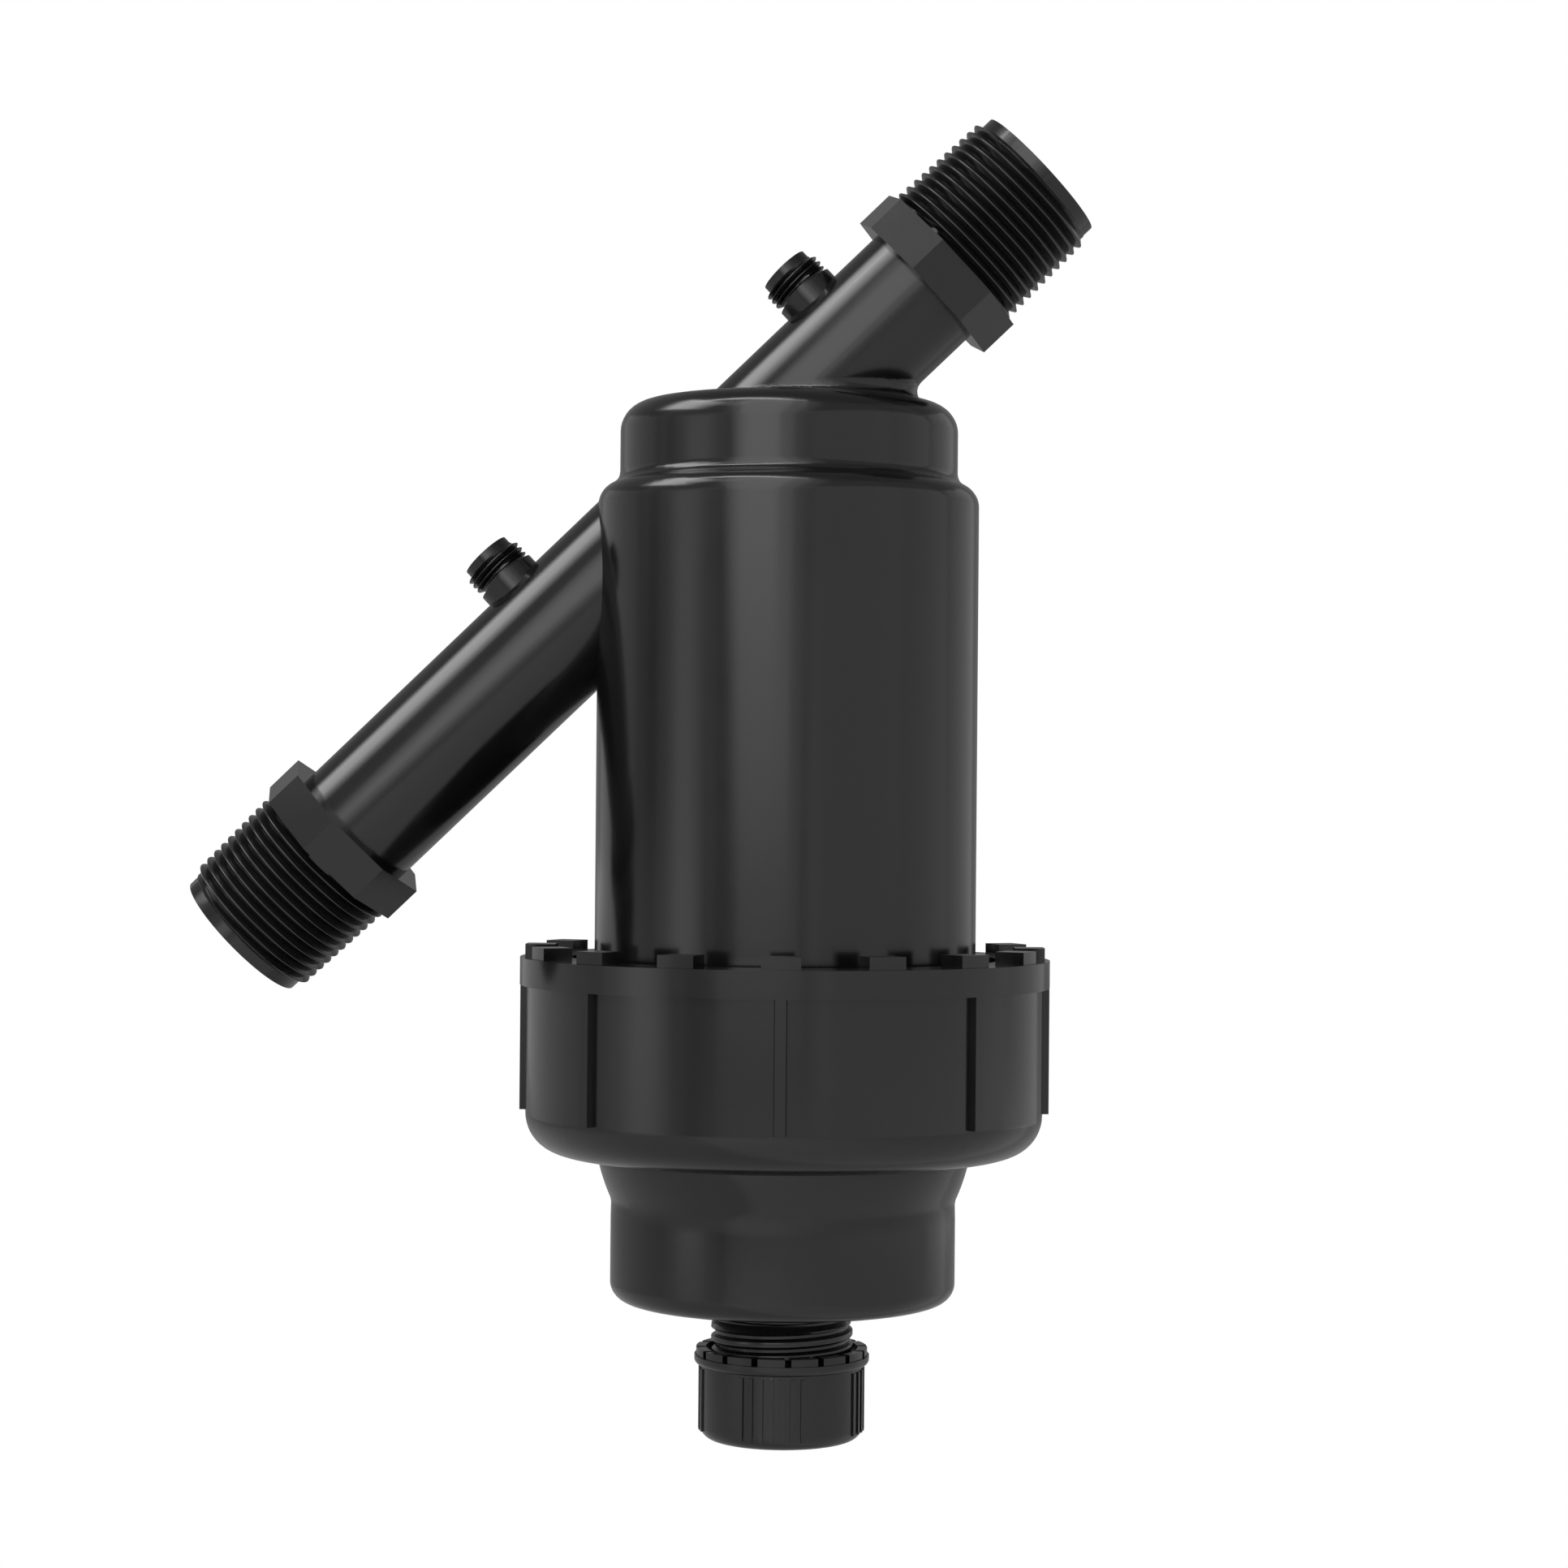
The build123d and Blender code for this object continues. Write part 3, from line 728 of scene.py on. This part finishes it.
# %% Thread under the nut
JOINT_TURNS = 3.6
JOINT_STEPS = 144


def joint_height(run):
    """Root and height at a distance under the rim."""
    return JOINT_ROOT, JOINT_HEIGHT * swell(run, 1.0 * MM, 24.1 * MM, 2.0 * MM, 1.9 * MM)


ridge = screw_ridge(RIM, -UP, JOINT_START, EAST, JOINT_TOOTH, JOINT_PITCH, JOINT_TURNS, JOINT_STEPS,
                    joint_height)
print("joint thread faces:", len(ridge.faces))
finish_piece(ridge, "joint_thread", "housing_body", housing_plastic)

# %% [markdown]
# ## Union nut
# The nut is one round moulding whose solid already holds its ribs and blocks. Two things are drawn more
# truly here: the band under the rim ends in a square ledge, and the ribs have draft, as every moulding has
# to slide out of its tool, so their crests are a little narrower than their feet.

# %% Union nut
WALL_OUTSIDE = 52.2 * MM
RIB_CREST = 53.4 * MM
RIB_HALF_WIDTH = 1.175 * MM
RIB_TURN = radians(4.2)
RIB_STEP = radians(45)
RIB_FOOT = -31.6 * MM
CREST_IN = -0.12 * MM
FOOT_OUT = 0.10 * MM
BAND_FOOT = -4.65 * MM
RUN_OUT_FOOT = -6.4 * MM
RIM_LEDGE = -5.55 * MM
NUT_EDGE = 0.22 * MM


def rib_side(point):
    """How far a point stands aside of the middle of its nearest rib, and its distance from the axis."""
    arm = point - RIM
    turn = (atan2(arm.x, -arm.y) - RIB_TURN + RIB_STEP / 2) % RIB_STEP - RIB_STEP / 2
    radius = (arm.x ** 2 + arm.y ** 2) ** 0.5
    return radius * sin(turn), radius


nut_shape = joined_copy("union_nut")
squared = drafted = 0
for vertex in nut_shape.verts:
    height = vertex.co.z - RIM.z
    aside, radius = rib_side(vertex.co)
    outside = radius > WALL_OUTSIDE
    if outside and RIB_FOOT < height < BAND_FOOT and abs(abs(aside) - RIB_HALF_WIDTH) < 0.05 * MM:
        arm = (vertex.co - RIM) * Vector((1, 1, 0))
        shift = (CREST_IN if radius > RIB_CREST else FOOT_OUT) * (1 if aside > 0 else -1)
        vertex.co += Vector((-arm.y, arm.x, 0)).normalized() * shift
        drafted += 1
    if outside and RUN_OUT_FOOT < height < BAND_FOOT:
        vertex.co.z = RIM.z + RIM_LEDGE
        squared += 1
bmesh.ops.dissolve_degenerate(nut_shape, edges=nut_shape.edges, dist=0.01 * MM)
print("nut vertices on the ledge:", squared, "on the ribs:", drafted)
print("nut edges rounded:", round_edges(nut_shape, NUT_EDGE))
finish_piece(nut_shape, "union_nut_moulding", "nut_body", nut_plastic, "union_nut")

# %% [markdown]
# The nut's own thread stands inwards from its bore and runs in the gaps of the housing's thread, half a
# pitch behind it. The same spin makes it, with its root in the nut's wall and a height below zero. It
# shows once the bowl is drawn.

# %% Thread inside the nut
NUT_BORE = 43.6 * MM
NUT_TOOTH = ((-0.30, -0.2), (-0.28, 0.0), (-0.10, 1.0), (0.10, 1.0), (0.28, 0.0), (0.30, -0.2))
NUT_DEPTH = 1.6 * MM
NUT_TURNS = 3.2
INNER_SINK = 0.3 * MM


def inner_height(share, bore, depth):
    """Root and height of a ridge that stands inwards from a bore. The root lies in the wall."""
    return bore + INNER_SINK, -(depth + INNER_SINK) * share


def nut_height(run):
    """Root and height at a distance under the rim."""
    return inner_height(swell(run, 4 * MM, 23 * MM, 2 * MM, 2 * MM), NUT_BORE, NUT_DEPTH)


ridge = screw_ridge(RIM, -UP, JOINT_START + JOINT_PITCH / 2, EAST, NUT_TOOTH, JOINT_PITCH, NUT_TURNS,
                    JOINT_STEPS, nut_height)
print("nut thread faces:", len(ridge.faces))
finish_piece(ridge, "nut_thread", "nut_body", nut_plastic)

# %% [markdown]
# ## Bowl
# The bowl is a cup with a drain spigot under its floor. Under its flared neck the photo shows a plain edge
# that catches no line of light, so the solid's round there is drawn nearly straight. The spigot gets its
# thread in the same way as the ports.

# %% Bowl
BOWL_RADIUS = 35.25 * MM
BOWL_EDGE_HEIGHT = -49.9 * MM
BOWL_EDGE_ROUND = 3.1 * MM
BOWL_EDGE_LEAN = 0.08 * MM
SPIGOT_START = RIM - UP * 93.4 * MM
SPIGOT_LENGTH = 20.1 * MM
SPIGOT_ROOT = 13.65 * MM

bowl_shape = joined_copy("bowl")
for vertex in bowl_shape.verts:
    height = vertex.co.z - RIM.z
    radius = (vertex.co - RIM).xy.length
    over_foot = height - BOWL_EDGE_HEIGHT + BOWL_EDGE_ROUND
    if -0.05 * MM < over_foot < BOWL_EDGE_ROUND + 0.02 * MM and radius > 34.8 * MM:
        share = min(max(over_foot / BOWL_EDGE_ROUND, 0), 1)
        factor = (BOWL_RADIUS - BOWL_EDGE_LEAN * share) / radius
        vertex.co.x = RIM.x + (vertex.co.x - RIM.x) * factor
        vertex.co.y *= factor
moved = move_to_radius(bowl_shape, SPIGOT_START, UP, -0.1 * MM, SPIGOT_LENGTH + 0.1 * MM, 14.4 * MM,
                       lambda run: SPIGOT_ROOT)
SPIGOT = [(SPIGOT_START, UP, -0.1 * MM, SPIGOT_LENGTH + 0.1 * MM, 13 * MM, 14.5 * MM)]
print("bowl vertices pulled in:", moved)
print("bowl edges rounded:", round_edges(bowl_shape, MOULDED_EDGE, left_out=SPIGOT))
finish_piece(bowl_shape, "bowl_moulding", "bowl_body", bowl_plastic, "bowl")

# %% [markdown]
# The drain's thread has broad rounded crests and runs out softly at both ends. Its upper turns show between
# the bowl and the cap, so it has as many steps a turn as the pipe's.

# %% Drain thread
SPIGOT_TOOTH = ((-0.42, -0.3), (-0.40, 0.0), (-0.25, 0.80), (-0.16, 1.0), (0.16, 1.0), (0.25, 0.80),
                (0.40, 0.0), (0.42, -0.3))
SPIGOT_PITCH = 2.7 * MM
SPIGOT_HEIGHT = 0.85 * MM
SPIGOT_TURNS = 7
SPIGOT_STEPS = 96
SPIGOT_FIRST = 0.8 * MM


def spigot_height(run):
    """Root and height at a distance above the spigot's open end."""
    return SPIGOT_ROOT, SPIGOT_HEIGHT * swell(run, 0.2 * MM, SPIGOT_LENGTH, 1.4 * MM, 1.6 * MM)


ridge = screw_ridge(SPIGOT_START, UP, SPIGOT_FIRST, EAST, SPIGOT_TOOTH, SPIGOT_PITCH, SPIGOT_TURNS,
                    SPIGOT_STEPS, spigot_height)
print("drain thread faces:", len(ridge.faces))
finish_piece(ridge, "drain_thread", "bowl_body", bowl_plastic)

# %% [markdown]
# ## Drain cap
# The cap's solid holds its grip ridges and its castellated flange, which are finer than the nut's, so its
# edges get a smaller round. Its inner thread is made like the nut's.

# %% Drain cap
CAP_BORE = 14.7 * MM
CAP_TOOTH = ((-0.24, -0.2), (-0.22, 0.0), (-0.08, 1.0), (0.08, 1.0), (0.22, 0.0), (0.24, -0.2))
CAP_DEPTH = 0.7 * MM
CAP_TURNS = 3.4
CAP_EDGE = 0.12 * MM


def cap_height(run):
    """Root and height at a distance above the spigot's open end."""
    return inner_height(swell(run, 0.4 * MM, 11.4 * MM, 2 * MM, 2 * MM), CAP_BORE, CAP_DEPTH)


cap_shape = joined_copy("drain_cap")
print("cap edges rounded:", round_edges(cap_shape, CAP_EDGE))
finish_piece(cap_shape, "drain_cap_moulding", "drain_cap_body", cap_plastic, "drain_cap")
ridge = screw_ridge(SPIGOT_START, UP, SPIGOT_FIRST + SPIGOT_PITCH / 2, EAST, CAP_TOOTH, SPIGOT_PITCH,
                    CAP_TURNS, SPIGOT_STEPS, cap_height)
print("cap thread faces:", len(ridge.faces))
finish_piece(ridge, "cap_thread", "drain_cap_body", cap_plastic)

# %% [markdown]
# ## Filter element
# A disc filter's element is a pile of a hundred thin grooved rings, squeezed on a slotted core. The solid
# holds their outline as one sleeve. Here one ring is made by spinning its small section, and then copied
# up the core with a hair's gap between rings, because the lines of those gaps are what shows that it is a
# disc filter when the bowl is drawn. The copies go in one mesh, as the pile moves and is cleaned as one.

# %% Filter discs
stack_low, stack_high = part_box("disc_stack")
DISC_COUNT = 100
DISC_PITCH = (stack_high.z - stack_low.z) / DISC_COUNT
DISC_OUTER = (stack_high.x - stack_low.x) / 2
DISC_INNER = 16.0 * MM
DISC_EDGE = 0.25 * MM
DISC_GAP = 0.14 * MM
DISC_SIDES = 96

disc_height = DISC_PITCH - DISC_GAP
section = (
    (DISC_INNER, 0), (DISC_OUTER - DISC_EDGE, 0), (DISC_OUTER, DISC_EDGE),
    (DISC_OUTER, disc_height - DISC_EDGE), (DISC_OUTER - DISC_EDGE, disc_height), (DISC_INNER, disc_height),
)
stack_foot = Vector((RIM.x, 0, stack_low.z))
discs = bmesh.new()
ring = [discs.verts.new(stack_foot + Vector((radius, 0, height))) for radius, height in section]
rim_edges = [discs.edges.new((first, second)) for first, second in zip(ring, ring[1:] + ring[:1])]
bmesh.ops.spin(discs, geom=ring + rim_edges, cent=stack_foot, axis=UP, angle=2 * pi, steps=DISC_SIDES,
               use_merge=True)
bmesh.ops.recalc_face_normals(discs, faces=discs.faces)
one_disc = list(discs.faces)
for level in range(1, DISC_COUNT):
    copied = bmesh.ops.duplicate(discs, geom=one_disc)["geom"]
    bmesh.ops.translate(discs, verts=[part for part in copied if isinstance(part, bmesh.types.BMVert)],
                        vec=UP * (level * DISC_PITCH))
print("discs:", DISC_COUNT, "faces:", len(discs.faces))
finish_piece(discs, "filter_discs", "bowl_body", disc_plastic, "disc_stack")

# %% [markdown]
# The rest of the element is plain work in a duller plastic: the slotted core, the plate that presses the
# discs together and the nut that is turned by hand. Rounded edges are all that they need.

# %% Core, plate and hand nut
for node, size in (("disc_core", 0.2), ("pressure_plate", 0.2), ("hand_nut", 0.3)):
    shape = joined_copy(node)
    print(node, "edges rounded:", round_edges(shape, size * MM))
    finish_piece(shape, node + "_moulding", "bowl_body", core_plastic, node)
